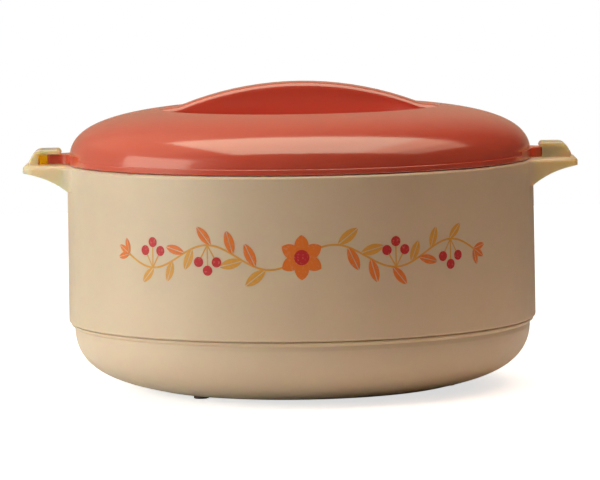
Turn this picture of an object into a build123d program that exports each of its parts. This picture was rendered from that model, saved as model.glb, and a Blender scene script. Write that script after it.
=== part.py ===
"""Insulated serving casserole with a twist-lock lid.

Millimetres, +Z up. The origin is on the table, under the middle of the casserole. The front
is -Y and the two carrying ears stand out along +X and -X. The lid turns about +Z.
"""

import os
from math import cos, hypot, radians, sin, sqrt, tan

from build123d import *

os.makedirs("parts", exist_ok=True)

# ---------------------------------------------------------------- driving dimensions, mm
# Heights, stacked from the table up
foot_proud = 1.6            # feet below the base cover
base_height = 34.0          # base cover, underside to the seam
seam_gap = 0.7              # open line between base cover and outer shell
shell_height = 84.6         # outer shell, seam to rim
lid_gap = 0.3               # lid above the rim, closed
skirt_height = 3.0          # flat band round the foot of the lid
dome_rise = 28.5            # top of the skirt to the top of the dome
grip_rise = 10.3            # top of the grip above the top of the dome

# Outer shell, a polypropylene moulding with a land under the lid
shell_rim_radius = 124.9
shell_flare = 0.6           # mould draft: wider at the seam than at the rim
shell_wall = 2.4
shell_rim_round = 2.0
shell_foot_round = 0.9
land_recess_depth = 1.6     # seat of the bowl's flange in the land

# Carrying ears and the hooks on them that hold the lid's lugs
ear_length = 23.3           # rim of the shell to the tip of an ear
ear_root_half_width = 29.5  # at the ear's root, inside the wall
ear_tip_half_width = 19.0
ear_corner_round = 8.0
ear_blend_round = 12.0      # hollow blend of the ear's sides into the wall, from above
ear_blend_sink = 0.3        # blend runs into the wall this deep
ear_edge_round = 2.0
ear_tip_thickness = 4.0
ear_root_depth = 13.6       # depth of the bracket at the wall
ear_cove_sag = 1.8          # bow of the bracket's lower edge
ear_plate = 3.0             # top plate over the hollow
ear_web = 2.6               # side webs and tip lip round the hollow
hook_set_out = 3.6          # rim of the shell to the inner edge of the hook's top plate
hook_width = 16.6           # inner edge of the top plate to the foot of the outer side
hook_plate = 2.4
hook_wall = 2.4             # closed side of the hook
hook_wall_inset = 1.0       # closed side starts this far outside the top plate's inner edge
hook_outer_wall = 5.0
hook_slope = 3.4            # slope of the hook's outer side, across its height
hook_round = 5.0            # outer shoulder of the top plate
hook_foot_round = 3.0       # turn from the slope down to the ear
hook_inner_round = 2.0      # top plate's edge towards the lid
hook_side_round = 1.1       # and its front and back edges

# Base cover, a shallow moulded bowl with a spigot inside the shell
base_set_in = 2.5           # side of the base cover inside the rim of the shell
base_wall = 2.4
base_lip_set_in = 0.7
base_lip_height = 0.8
base_shoulder_height = 2.2
base_side_height = 3.1      # seam down to the start of the curve
base_curve_width = 38.4     # side in to the edge of the flat floor
base_side_share = 0.738     # tangent of the curve at the side, as a share of its height
base_floor_share = 0.37     # and at the floor, as a share of its width
base_floor_angle = 13.8     # degrees, slope of the curve where it meets the flat floor
spigot_height = 6.0
base_dish_radius = 42.0     # shallow dish in the underside, round the filling hole
base_dish_depth = 1.3

# Feet, pushed into the base cover
foot_count = 3
foot_set_in = 5.0           # edge of the flat floor to the middle of a foot
foot_first_angle = 227.0    # degrees from +X
foot_diameter = 8.0
foot_shank_diameter = 4.6

# Inner bowl of stainless steel
bowl_set_in = 19.9          # rim of the shell to the bowl's mouth
bowl_taper = 2.4
bowl_depth = 95.0
bowl_corner_radius = 18.0
bowl_flange_width = 7.4
bowl_bend_radius = 2.2      # inside of the turn from the wall into the flange
steel = 0.7
bowl_seal_thickness = 0.8

# Lid, a polypropylene dome with a round well and a grip across it
skirt_set_in = 0.8          # skirt inside the rim of the shell
dome_set_in = 0.5           # dome inside the skirt
lid_wall = 2.4
dome_side_share = 0.770     # tangent of the dome at its foot, as a share of its rise
dome_top_share = 0.695      # and at its top, as a share of its radius
skirt_round = 0.4
well_set_in = 49.6          # foot of the dome to the well
well_depth = 16.0
well_draft = 14.0           # degrees, slope of the well's wall
well_lip_round = 3.0
well_floor_round = 7.0
grip_width = 23.0
grip_arch_fall = 16.4       # middle of the arch down to its ends at the well's edge
grip_edge_round = 3.3
grip_blend_radius = 16.0    # hollow blend of the arch into the dome
grip_sink = 0.12            # bridge under the dome where they join
lug_half_width = 7.2
lug_thickness = 4.9
lug_root_round = 6.0
lug_corner_round = 2.0
lug_shoulder_half_width = 42.0    # block on the skirt that carries a lug

# Lid liner, its seal and the filling plugs
liner_wall = 2.0
liner_lip_width = 2.0
plug_depth = 12.0           # the liner's plug below the lid's lower edge
plug_corner_round = 5.0
seal_width = 7.4
seal_thickness = 2.4
seal_keeper_width = 1.5
seal_keeper_drop = 1.5
liner_dish_radius = 22.0
liner_dish_depth = 1.3
fill_hole_diameter = 14.0
fill_head_diameter = 22.0
fill_head_thickness = 1.0
fill_shank_length = 4.4

# Clearances
seat_clearance = 0.2        # bonded or pushed-in neighbours
foam_clearance = 0.15       # foam to the skins round it
shank_clearance = 0.1
plug_clearance = 1.5        # liner's plug in the bowl's mouth
lug_clearance = 0.4         # lug under its hook and at the closed side
lug_tip_clearance = 4.6     # lug's tip inside the hook's outer side
seal_clearance = 0.3        # seal on the liner's plug
bowl_clearance = 0.2        # bowl's bend in the hole of the land

# ---------------------------------------------------------------- worked-out places
BEZIER_SHARE = 0.55         # a quarter round's tangent pulls are this share of its radius
DEEP = 400.0                # longer than any piece, for cuts that run right through

base_floor_z = foot_proud
base_top_z = base_floor_z + base_height
shell_foot_z = base_top_z + seam_gap
rim_z = shell_foot_z + shell_height
lid_z = rim_z + lid_gap
dome_foot_z = lid_z + skirt_height
dome_top_z = dome_foot_z + dome_rise
grip_top_z = dome_top_z + grip_rise

shell_foot_radius = shell_rim_radius + shell_flare
shell_inner_radius = shell_rim_radius - shell_wall
bowl_mouth_radius = shell_rim_radius - bowl_set_in
bowl_floor_radius = bowl_mouth_radius - bowl_taper
land_inner_radius = bowl_mouth_radius + bowl_bend_radius + bowl_clearance
bowl_flange_radius = bowl_mouth_radius + bowl_flange_width
land_recess_radius = bowl_flange_radius + seat_clearance
land_recess_z = rim_z - land_recess_depth
land_under_z = land_recess_z - shell_wall
bowl_seal_z = land_recess_z
bowl_flange_z = bowl_seal_z + bowl_seal_thickness
bowl_rim_z = bowl_flange_z + steel
bowl_floor_z = bowl_rim_z - bowl_depth

base_radius = shell_rim_radius - base_set_in
base_lip_radius = shell_rim_radius - base_lip_set_in
base_floor_radius = base_radius - base_curve_width
foot_circle_radius = base_floor_radius - foot_set_in
spigot_radius = shell_foot_radius - shell_wall - seat_clearance
spigot_inner_radius = base_radius - base_wall
spigot_top_z = base_top_z + spigot_height
base_inner_z = base_floor_z + base_wall
base_dish_z = base_floor_z + base_dish_depth

skirt_radius = shell_rim_radius - skirt_set_in
dome_radius = skirt_radius - dome_set_in
well_radius = dome_radius - well_set_in
well_floor_z = dome_top_z - well_depth
grip_arch_radius = (well_radius**2 + grip_arch_fall**2) / (2 * grip_arch_fall)
ear_reach = shell_rim_radius + ear_length
ear_root_x = land_recess_radius + shell_wall
hook_inner_reach = shell_rim_radius + hook_set_out
hook_shoulder_reach = hook_inner_reach + hook_width
hook_slot_reach = hook_shoulder_reach - hook_outer_wall
lug_reach = hook_slot_reach - lug_tip_clearance
hook_ceiling_z = lid_z + lug_thickness + lug_clearance
hook_top_z = hook_ceiling_z + hook_plate
hook_half_width = lug_half_width + lug_clearance + hook_wall

liner_radius = dome_radius - lid_wall - seat_clearance
seal_z = bowl_rim_z + lid_gap
liner_plate_z = seal_z + seal_thickness + seat_clearance
liner_top_z = liner_plate_z + liner_wall
plug_radius = bowl_mouth_radius - plug_clearance
plug_floor_z = lid_z - plug_depth
liner_dish_z = plug_floor_z + liner_dish_depth
seal_inner_radius = plug_radius + seal_clearance
seal_outer_radius = seal_inner_radius + seal_width
keeper_radius = seal_outer_radius + seal_clearance
foot_angles = [foot_first_angle + i * 360 / foot_count for i in range(foot_count)]


def ring(bottom_z, top_z, inner_radius, outer_radius):
    """A plain ring about the axis."""
    with BuildPart() as body:
        with BuildSketch(Plane.XY.offset(bottom_z)):
            Circle(outer_radius)
            Circle(inner_radius, mode=Mode.SUBTRACT)
        extrude(amount=top_z - bottom_z)
    return body.part


def turned(*points):
    """A solid of revolution about the axis, from the corners of its section."""
    with BuildPart() as body:
        with BuildSketch(Plane.YZ):
            with BuildLine():
                Polyline(*points, close=True)
            make_face()
        revolve(axis=Axis.Z)
    return body.part


def reach(corner):
    """Distance of a sketch corner from the axis."""
    return hypot(corner.X, corner.Y)


def at_corner(x, z):
    """Picks the sketch corner nearest to a point of the section."""
    return lambda corner: hypot(corner.X - x, corner.Y - z)


# ---------------------------------------------------------------- outer shell
def shell_inner_at(z):
    """Inner radius of the drafted shell wall at a height."""
    share = (rim_z - z) / shell_height
    return shell_inner_radius + share * (shell_foot_radius - shell_rim_radius)


def shell_cavity():
    """The space inside the shell's wall, under its land."""
    step_radius = land_recess_radius + shell_wall
    land_z = rim_z - shell_wall
    return turned(
        (0, -DEEP),
        (shell_inner_at(shell_foot_z), -DEEP),
        (shell_inner_at(shell_foot_z), shell_foot_z),
        (shell_inner_at(land_z), land_z),
        (step_radius, land_z),
        (step_radius, land_under_z),
        (0, land_under_z),
    )


def ear_plan(inset):
    """Outline of the right-hand ear from above, blended into the wall and drawn in by a distance."""
    wall_radius = shell_rim_radius - ear_blend_sink - inset
    with BuildSketch() as plan:
        with BuildLine():
            Polyline(
                (ear_root_x, -ear_root_half_width + inset),
                (ear_reach - inset, -ear_tip_half_width + inset),
                (ear_reach - inset, ear_tip_half_width - inset),
                (ear_root_x, ear_root_half_width - inset),
                close=True,
            )
        make_face()
        tips = plan.vertices().group_by(Axis.X)[-1]
        fillet(tips, ear_corner_round - inset)
        Circle(wall_radius)
        roots = plan.vertices().filter_by(lambda corner: corner.X > ear_root_x)
        fillet(roots.filter_by(lambda corner: abs(reach(corner) - wall_radius) < 0.01), ear_blend_round + inset)
        with Locations((ear_root_x + DEEP / 2, 0)):
            Rectangle(DEEP, DEEP, mode=Mode.INTERSECT)
    return plan.sketch


def ear_solid():
    """Right-hand ear: a plate level with the rim on a hollow, coved bracket."""
    tip_low = (ear_reach, rim_z - ear_tip_thickness)
    wall_low = (shell_rim_radius - shell_wall / 2, rim_z - ear_root_depth)
    with BuildPart() as ear:
        with BuildSketch(Plane.XZ):
            with BuildLine():
                Polyline(wall_low, (ear_root_x, wall_low[1]), (ear_root_x, rim_z), (ear_reach, rim_z), tip_low)
                SagittaArc(tip_low, wall_low, -ear_cove_sag)
            make_face()
        extrude(amount=shell_rim_radius / 2, both=True)
        with BuildSketch(Plane.XY.offset(rim_z)):
            add(ear_plan(0))
        extrude(amount=-ear_root_depth, mode=Mode.INTERSECT)
        top_outline = ear.faces().sort_by(Axis.Z)[-1].edges()
        fillet(top_outline.filter_by(lambda edge: edge.center().X > ear_root_x + 0.1), ear_edge_round)
        with BuildSketch(Plane.XY.offset(rim_z - ear_plate)):
            add(ear_plan(ear_web))
        extrude(amount=-ear_root_depth, mode=Mode.SUBTRACT)
    return ear.part


def hook_solid():
    """Right-hand hook: open towards the lid and at the back, closed at the front."""
    with BuildPart() as hook:
        with BuildSketch(Plane.XZ) as side:
            with BuildLine():
                Polyline(
                    (hook_inner_reach, rim_z - ear_plate),
                    (hook_shoulder_reach, rim_z - ear_plate),
                    (hook_shoulder_reach, rim_z + ear_edge_round),
                    (hook_shoulder_reach - hook_slope, hook_top_z),
                    (hook_inner_reach, hook_top_z),
                    close=True,
                )
            make_face()
            inner_corner = at_corner(hook_inner_reach, hook_top_z)
            fillet(side.vertices().sort_by(inner_corner)[0], hook_inner_round)
            outer_corner = at_corner(hook_shoulder_reach - hook_slope, hook_top_z)
            fillet(side.vertices().sort_by(outer_corner)[0], hook_round)
            foot_of_slope = at_corner(hook_shoulder_reach, rim_z + ear_edge_round)
            fillet(side.vertices().sort_by(foot_of_slope)[0], hook_foot_round)
        extrude(amount=hook_half_width, both=True)
        ends = hook.faces().filter_by(Axis.Y).edges()
        fillet(ends.filter_by(lambda edge: edge.center().Z > hook_ceiling_z), hook_side_round)
        with BuildSketch(Plane.XZ.offset(-hook_half_width)):
            with BuildLine():
                Polyline(
                    (0, rim_z),
                    (hook_slot_reach, rim_z),
                    (hook_slot_reach, hook_ceiling_z),
                    (0, hook_ceiling_z),
                    close=True,
                )
            make_face()
        extrude(amount=2 * hook_half_width - hook_wall, mode=Mode.SUBTRACT)
        with BuildSketch(Plane.XY.offset(rim_z)):
            with Locations(((hook_inner_reach + hook_wall_inset) / 2, 0)):
                Rectangle(hook_inner_reach + hook_wall_inset, 2 * hook_half_width)
        extrude(amount=hook_ceiling_z - rim_z, mode=Mode.SUBTRACT)
    return hook.part


ear = ear_solid()
hook = hook_solid()
cavity = shell_cavity()

with BuildPart() as outer_shell:
    with BuildSketch(Plane.YZ) as section:
        with BuildLine():
            Polyline(
                (shell_foot_radius, shell_foot_z),
                (shell_rim_radius, rim_z),
                (land_recess_radius, rim_z),
                (land_recess_radius, land_recess_z),
                (land_inner_radius, land_recess_z),
                (land_inner_radius, shell_foot_z),
                close=True,
            )
        make_face()
        fillet(section.vertices().sort_by(at_corner(shell_rim_radius, rim_z))[0], shell_rim_round)
        fillet(section.vertices().sort_by(at_corner(shell_foot_radius, shell_foot_z))[0], shell_foot_round)
    revolve(axis=Axis.Z)
    with PolarLocations(0, 2):
        add(ear)
        add(hook)
    add(cavity, mode=Mode.SUBTRACT)
outer_shell.part.label = "outer_shell"
export_step(outer_shell.part, "parts/outer_shell.step")


# ---------------------------------------------------------------- base cover
def base_form(inset):
    """Solid form of the base cover under its shoulder, drawn in from the outer surface."""
    side = base_radius - inset
    curve_top_z = base_top_z - base_side_height
    floor_z = base_floor_z + inset
    slope = radians(base_floor_angle)
    floor_end = base_floor_radius - inset * tan(slope / 2)
    side_pull = base_side_share * (curve_top_z - base_floor_z) - BEZIER_SHARE * inset
    floor_pull = base_floor_share * base_curve_width - BEZIER_SHARE * inset
    with BuildPart() as form:
        with BuildSketch(Plane.YZ):
            with BuildLine():
                Polyline((0, base_top_z), (side, base_top_z), (side, curve_top_z))
                Bezier(
                    (side, curve_top_z),
                    (side, curve_top_z - side_pull),
                    (floor_end + floor_pull * cos(slope), floor_z + floor_pull * sin(slope)),
                    (floor_end, floor_z),
                )
                Polyline((floor_end, floor_z), (0, floor_z), (0, base_top_z))
            make_face()
        revolve(axis=Axis.Z)
    return form.part


def base_rim():
    """Lip under the seam, with its sloping shoulder, and the spigot above it."""
    shoulder_z = base_top_z - base_shoulder_height
    lip_z = base_top_z - base_lip_height
    return turned(
        (spigot_inner_radius, shoulder_z - base_wall),
        (base_radius, shoulder_z - base_wall),
        (base_radius, shoulder_z),
        (base_lip_radius, lip_z),
        (base_lip_radius, base_top_z),
        (spigot_radius, base_top_z),
        (spigot_radius, spigot_top_z),
        (spigot_inner_radius, spigot_top_z),
    )


base_outside = base_form(0)
base_inside = base_form(base_wall)
base_edge = base_rim()
foot_radius = foot_diameter / 2
foot_shank_radius = foot_shank_diameter / 2
fill_hole_radius = fill_hole_diameter / 2

with BuildPart() as base_cover:
    add(base_outside)
    add(base_inside, mode=Mode.SUBTRACT)
    add(base_edge)
    with BuildSketch(Plane.XY.offset(base_inner_z)):
        Circle(base_dish_radius + base_wall)
    extrude(amount=base_dish_depth)
    with BuildSketch(Plane.XY.offset(base_floor_z)):
        Circle(base_dish_radius)
    extrude(amount=base_dish_depth, mode=Mode.SUBTRACT)
    with BuildSketch(Plane.XY.offset(base_floor_z)):
        Circle(fill_hole_radius)
        for angle in foot_angles:
            with PolarLocations(foot_circle_radius, 1, start_angle=angle):
                Circle(foot_shank_radius + shank_clearance)
    extrude(amount=base_dish_depth + base_wall, mode=Mode.SUBTRACT)
base_cover.part.label = "base_cover"
export_step(base_cover.part, "parts/base_cover.step")

# ---------------------------------------------------------------- feet
for number, angle in enumerate(foot_angles, start=1):
    with BuildPart() as foot:
        with BuildSketch():
            with PolarLocations(foot_circle_radius, 1, start_angle=angle):
                Circle(foot_radius)
        extrude(amount=foot_proud)
        fillet(foot.edges().group_by(Axis.Z)[0], foot_proud / 4)
        with BuildSketch(Plane.XY.offset(foot_proud)):
            with PolarLocations(foot_circle_radius, 1, start_angle=angle):
                Circle(foot_shank_radius)
        extrude(amount=base_wall)
    foot.part.label = f"foot_{number}"
    export_step(foot.part, f"parts/foot_{number}.step")


# ---------------------------------------------------------------- filling plugs
def fill_plug(seat_z):
    """Push-in plug whose head lies under a seat at a height and whose shank goes up through it."""
    with BuildPart() as plug:
        with BuildSketch(Plane.XY.offset(seat_z - fill_head_thickness)):
            Circle(fill_head_diameter / 2)
        extrude(amount=fill_head_thickness)
        fillet(plug.edges().group_by(Axis.Z)[0], fill_head_thickness / 2)
        with BuildSketch(Plane.XY.offset(seat_z)):
            Circle(fill_hole_radius - shank_clearance)
        extrude(amount=fill_shank_length)
        chamfer(plug.edges().group_by(Axis.Z)[-1], fill_head_thickness / 2)
    return plug.part


with BuildPart() as base_fill_plug:
    add(fill_plug(base_dish_z))
base_fill_plug.part.label = "base_fill_plug"
export_step(base_fill_plug.part, "parts/base_fill_plug.step")


# ---------------------------------------------------------------- inner bowl and its seal
def bowl_form(inset):
    """Solid form of the bowl's hollow body, drawn out by a distance from its inner surface."""
    with BuildPart() as form:
        with BuildSketch(Plane.YZ) as section:
            with BuildLine():
                Polyline(
                    (0, bowl_floor_z - inset),
                    (bowl_floor_radius + inset, bowl_floor_z - inset),
                    (bowl_mouth_radius + inset, bowl_rim_z),
                    (0, bowl_rim_z),
                    close=True,
                )
            make_face()
            corner = section.vertices().sort_by(at_corner(bowl_floor_radius, bowl_floor_z - inset))[0]
            fillet(corner, bowl_corner_radius + inset)
        revolve(axis=Axis.Z)
    return form.part


bowl_hollow = bowl_form(0)
bowl_outside = bowl_form(steel)

with BuildPart() as inner_bowl:
    add(bowl_outside)
    add(ring(bowl_flange_z, bowl_rim_z, bowl_mouth_radius, bowl_flange_radius))
    add(bowl_hollow, mode=Mode.SUBTRACT)
    under_flange = inner_bowl.edges().filter_by(GeomType.CIRCLE).group_by(Axis.Z)[-2]
    fillet(under_flange.sort_by(SortBy.RADIUS)[0], bowl_bend_radius - steel)
    rim = inner_bowl.edges().filter_by(GeomType.CIRCLE).group_by(Axis.Z)[-1]
    fillet(rim.sort_by(SortBy.RADIUS)[0], bowl_bend_radius)
inner_bowl.part.label = "inner_bowl"
export_step(inner_bowl.part, "parts/inner_bowl.step")

with BuildPart() as bowl_seal:
    add(ring(bowl_seal_z, bowl_flange_z, land_inner_radius, bowl_flange_radius))
bowl_seal.part.label = "bowl_seal"
export_step(bowl_seal.part, "parts/bowl_seal.step")

# ---------------------------------------------------------------- body foam
foam_outside = turned(
    (0, base_top_z),
    (spigot_inner_radius - foam_clearance, base_top_z),
    (spigot_inner_radius - foam_clearance, spigot_top_z + foam_clearance),
    (shell_inner_at(spigot_top_z) - foam_clearance, spigot_top_z + foam_clearance),
    (shell_inner_at(land_under_z) - foam_clearance, land_under_z - foam_clearance),
    (0, land_under_z - foam_clearance),
)
foam_bottom = base_form(base_wall + foam_clearance)
foam_bowl_space = bowl_form(steel + foam_clearance)

with BuildPart() as body_foam:
    add(foam_outside)
    add(foam_bottom)
    add(foam_bowl_space, mode=Mode.SUBTRACT)
    with BuildSketch(Plane.XY.offset(base_inner_z)):
        Circle(base_dish_radius + base_wall + foam_clearance)
    extrude(amount=base_dish_depth + foam_clearance, mode=Mode.SUBTRACT)
    with BuildSketch(Plane.XY.offset(base_inner_z)):
        Circle(fill_hole_radius)
    extrude(amount=fill_shank_length, mode=Mode.SUBTRACT)
body_foam.part.label = "body_foam"
export_step(body_foam.part, "parts/body_foam.step")


# ---------------------------------------------------------------- lid shell
def dome_face(inset):
    """Half section of the whole dome without its well, drawn in from the outer surface."""
    side = dome_radius - inset
    top_z = dome_top_z - inset
    with BuildSketch() as face:
        with BuildLine():
            Polyline((0, top_z), (0, lid_z), (side, lid_z), (side, dome_foot_z))
            Bezier(
                (side, dome_foot_z),
                (side, dome_foot_z + dome_side_share * dome_rise - BEZIER_SHARE * inset),
                (dome_top_share * dome_radius, top_z),
                (0, top_z),
            )
        make_face()
    return face.sketch


def dome_with_well(inset):
    """The dome with its round well, drawn in from the outer surface."""
    floor_z = well_floor_z - inset
    wall_foot = well_radius + inset - (dome_top_z - well_floor_z) * tan(radians(well_draft))
    with BuildPart() as dome:
        with BuildSketch(Plane.YZ) as section:
            add(dome_face(inset))
            with BuildLine():
                Polyline(
                    (0, floor_z),
                    (wall_foot, floor_z),
                    (well_radius + inset, dome_top_z),
                    (0, dome_top_z),
                    close=True,
                )
            make_face(mode=Mode.SUBTRACT)
            floor_corner = section.vertices().sort_by(at_corner(wall_foot, floor_z))[0]
            fillet(floor_corner, well_floor_round + inset)
            lip_corner = section.vertices().sort_by(at_corner(well_radius, dome_top_z))[0]
            fillet(lip_corner, max(well_lip_round - inset, well_lip_round / 5))
        revolve(axis=Axis.Z)
    return dome.part


def grip_solid(inset):
    """The grip: an arch on a bridge across the well, drawn in from the outer surface."""
    arch_radius = grip_arch_radius - inset
    arch_centre_z = grip_top_z - grip_arch_radius
    arch_end_z = arch_centre_z + sqrt(arch_radius**2 - well_radius**2)
    bridge_end = well_radius + well_lip_round
    with BuildPart() as grip:
        with BuildSketch(Plane.XZ) as side:
            add(dome_face(inset + grip_sink))
            mirror(about=Plane.YZ)
            with BuildLine():
                ThreePointArc(
                    (-well_radius, arch_end_z),
                    (0, grip_top_z - inset),
                    (well_radius, arch_end_z),
                )
                Polyline((well_radius, arch_end_z), (0, well_floor_z), (-well_radius, arch_end_z))
            make_face()
            joints = side.vertices().group_by(Axis.Y)[-1]
            fillet(joints, grip_blend_radius + inset)
            with Locations((0, (well_floor_z - inset + grip_top_z) / 2)):
                Rectangle(2 * bridge_end, grip_top_z - well_floor_z + inset, mode=Mode.INTERSECT)
        extrude(amount=grip_width / 2 - inset, both=True)
        sides = grip.faces().filter_by(Axis.Y).edges()
        top_edges = sides.filter_by(lambda edge: edge.center().Z > dome_top_z - well_depth / 2)
        top_edges = top_edges.filter_by(Axis.Z, reverse=True)
        fillet(top_edges, grip_edge_round - inset)
    return grip.part


def lid_form(inset):
    """The lid's whole form above its lower edge, drawn in from the outer surface."""
    dome = dome_with_well(inset)
    grip = grip_solid(inset)
    with BuildPart() as form:
        add(dome)
        add(grip)
    return form.part


lid_outside = lid_form(0)
lid_inside = lid_form(lid_wall)

with BuildPart() as lid_shell:
    add(lid_outside)
    with BuildSketch(Plane.XY.offset(lid_z)):
        Circle(skirt_radius)
        Circle(liner_radius, mode=Mode.SUBTRACT)
    extrude(amount=skirt_height)
    skirt_edges = lid_shell.edges().filter_by(GeomType.CIRCLE)
    fillet(skirt_edges.filter_by(lambda edge: edge.radius > skirt_radius - 0.01), skirt_round)
    with BuildSketch(Plane.XY.offset(lid_z)) as lugs:
        Circle(skirt_radius)
        Rectangle(2 * lug_reach, 2 * lug_half_width)
        Circle(lug_reach, mode=Mode.INTERSECT)
        roots = lugs.vertices().filter_by(lambda corner: reach(corner) < skirt_radius + lug_root_round)
        fillet(roots, lug_root_round)
        tips = lugs.vertices().filter_by(lambda corner: reach(corner) > lug_reach - lug_corner_round)
        fillet(tips, lug_corner_round)
        Rectangle(2 * lug_reach, 2 * lug_shoulder_half_width, mode=Mode.INTERSECT)
        shoulders = lugs.vertices().filter_by(lambda corner: abs(corner.Y) > lug_shoulder_half_width - 0.01)
        fillet(shoulders, lug_corner_round)
        Circle(liner_radius, mode=Mode.SUBTRACT)
    extrude(amount=lug_thickness)
    add(lid_inside, mode=Mode.SUBTRACT)
lid_shell.part.label = "lid_shell"
export_step(lid_shell.part, "parts/lid_shell.step")

# ---------------------------------------------------------------- lid liner
with BuildPart() as lid_liner:
    with BuildSketch(Plane.YZ) as section:
        with BuildLine():
            Polyline(
                (fill_hole_radius, liner_dish_z),
                (liner_dish_radius, liner_dish_z),
                (liner_dish_radius, plug_floor_z),
                (plug_radius, plug_floor_z),
                (plug_radius, liner_plate_z),
                (liner_radius - liner_lip_width, liner_plate_z),
                (liner_radius - liner_lip_width, lid_z),
                (liner_radius, lid_z),
                (liner_radius, liner_top_z),
                (plug_radius - liner_wall, liner_top_z),
                (plug_radius - liner_wall, plug_floor_z + liner_wall),
                (liner_dish_radius + liner_wall, plug_floor_z + liner_wall),
                (liner_dish_radius + liner_wall, liner_dish_z + liner_wall),
                (fill_hole_radius, liner_dish_z + liner_wall),
                close=True,
            )
        make_face()
        fillet(section.vertices().sort_by(at_corner(plug_radius, plug_floor_z))[0], plug_corner_round)
        inner_corner = at_corner(plug_radius - liner_wall, plug_floor_z + liner_wall)
        fillet(section.vertices().sort_by(inner_corner)[0], plug_corner_round - liner_wall)
    revolve(axis=Axis.Z)
    keeper_z = liner_plate_z - seal_keeper_drop
    add(ring(keeper_z, liner_plate_z, keeper_radius, keeper_radius + seal_keeper_width))
lid_liner.part.label = "lid_liner"
export_step(lid_liner.part, "parts/lid_liner.step")

with BuildPart() as lid_fill_plug:
    add(fill_plug(liner_dish_z))
lid_fill_plug.part.label = "lid_fill_plug"
export_step(lid_fill_plug.part, "parts/lid_fill_plug.step")

# ---------------------------------------------------------------- lid seal
with BuildPart() as lid_seal:
    add(ring(seal_z, seal_z + seal_thickness, seal_inner_radius, seal_outer_radius))
    fillet(lid_seal.edges().group_by(Axis.Z)[0], seal_thickness / 4)
lid_seal.part.label = "lid_seal"
export_step(lid_seal.part, "parts/lid_seal.step")

# ---------------------------------------------------------------- lid foam
lid_foam_form = lid_form(lid_wall + foam_clearance)
foam_plug = turned(
    (0, plug_floor_z + liner_wall + foam_clearance),
    (plug_radius - plug_corner_round - foam_clearance, plug_floor_z + liner_wall + foam_clearance),
    (plug_radius - liner_wall - foam_clearance, plug_floor_z + plug_corner_round + foam_clearance),
    (plug_radius - liner_wall - foam_clearance, liner_top_z + 2 * foam_clearance),
    (0, liner_top_z + 2 * foam_clearance),
)

with BuildPart() as lid_foam:
    add(lid_foam_form)
    with BuildSketch(Plane.XY.offset(liner_top_z + foam_clearance)):
        Circle(DEEP)
    extrude(amount=-DEEP, mode=Mode.SUBTRACT)
    add(foam_plug)
    with BuildSketch(Plane.XY.offset(plug_floor_z + liner_wall)):
        Circle(liner_dish_radius + liner_wall + foam_clearance)
    extrude(amount=liner_dish_depth + foam_clearance, mode=Mode.SUBTRACT)
    with BuildSketch(Plane.XY.offset(plug_floor_z + liner_wall)):
        Circle(fill_hole_radius)
    extrude(amount=fill_shank_length, mode=Mode.SUBTRACT)
lid_foam.part.label = "lid_foam"
export_step(lid_foam.part, "parts/lid_foam.step")
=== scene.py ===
from math import atan, atan2, ceil, cos, hypot, pi, radians, sin, tau

import bpy
from mathutils import Matrix, Vector


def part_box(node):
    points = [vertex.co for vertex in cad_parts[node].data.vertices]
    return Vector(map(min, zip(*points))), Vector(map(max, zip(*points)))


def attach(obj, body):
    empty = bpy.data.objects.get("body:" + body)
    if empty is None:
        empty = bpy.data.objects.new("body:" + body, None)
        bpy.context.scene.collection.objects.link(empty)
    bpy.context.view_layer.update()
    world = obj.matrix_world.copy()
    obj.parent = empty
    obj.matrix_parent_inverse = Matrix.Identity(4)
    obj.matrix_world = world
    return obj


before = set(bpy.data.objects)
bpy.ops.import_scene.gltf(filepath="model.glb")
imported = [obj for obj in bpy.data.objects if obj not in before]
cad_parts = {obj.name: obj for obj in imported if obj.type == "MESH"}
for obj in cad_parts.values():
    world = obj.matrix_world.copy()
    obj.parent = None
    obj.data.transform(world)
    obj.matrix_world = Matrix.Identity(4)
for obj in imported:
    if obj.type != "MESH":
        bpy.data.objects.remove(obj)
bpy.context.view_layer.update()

# Finishes, screen print and studio of a round insulated serving casserole. It stands at the origin,
# with +Z up and its front towards -Y, and every length is in metres. The moulded, pressed and foamed
# pieces come with the frame. This file finishes them, prints a leafy sprig round the front of the body,
# and sets the table top, the lights and the camera.

bl_info = {
    "name": "Insulated casserole",
    "version": (1, 0, 0),
    "blender": (4, 5, 0),
    "location": "3D View > Sidebar > Casserole",
    "description": "Finishes a round insulated serving casserole and prints a leafy sprig on it",
    "category": "Object",
}

MM = 0.001

# The body's plain wall, from the shell's foot to the bowl's rim. It carries the print, and the ears
# stand out from it.
SHELL_LOW, SHELL_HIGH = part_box("outer_shell")
RIM_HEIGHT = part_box("inner_bowl")[1].z
WALL_FOOT_RADIUS = (SHELL_HIGH.y - SHELL_LOW.y) / 2
WALL_DRAFT = 0.6 * MM       # narrower at the rim than at the seam
WALL_RIM_RADIUS = WALL_FOOT_RADIUS - WALL_DRAFT


def linear(hex_colour):
    """Turns an sRGB hex colour into linear red, green and blue."""
    shares = [int(hex_colour[i:i + 2], 16) / 255 for i in (0, 2, 4)]
    return [s / 12.92 if s <= 0.04045 else ((s + 0.055) / 1.055) ** 2.4 for s in shares]


def colour_property(name, hex_colour, description):
    """A colour that a user can change."""
    return bpy.props.FloatVectorProperty(
        name=name, description=description, subtype="COLOR", size=3, min=0, max=1,
        default=linear(hex_colour),
    )


def length_property(name, millimetres, description):
    """A length that a user can change, stated in millimetres and held in metres."""
    return bpy.props.FloatProperty(
        name=name, description=description, subtype="DISTANCE", unit="LENGTH", min=0, precision=5,
        default=millimetres * MM,
    )


def share_property(name, default, description):
    """A share between 0 and 1 that a user can change."""
    return bpy.props.FloatProperty(
        name=name, description=description, subtype="FACTOR", min=0, max=1, default=default
    )


def power_property(name, watts, description):
    """A lamp's power that a user can change."""
    return bpy.props.FloatProperty(name=name, description=description, unit="POWER", min=0, default=watts)


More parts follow.
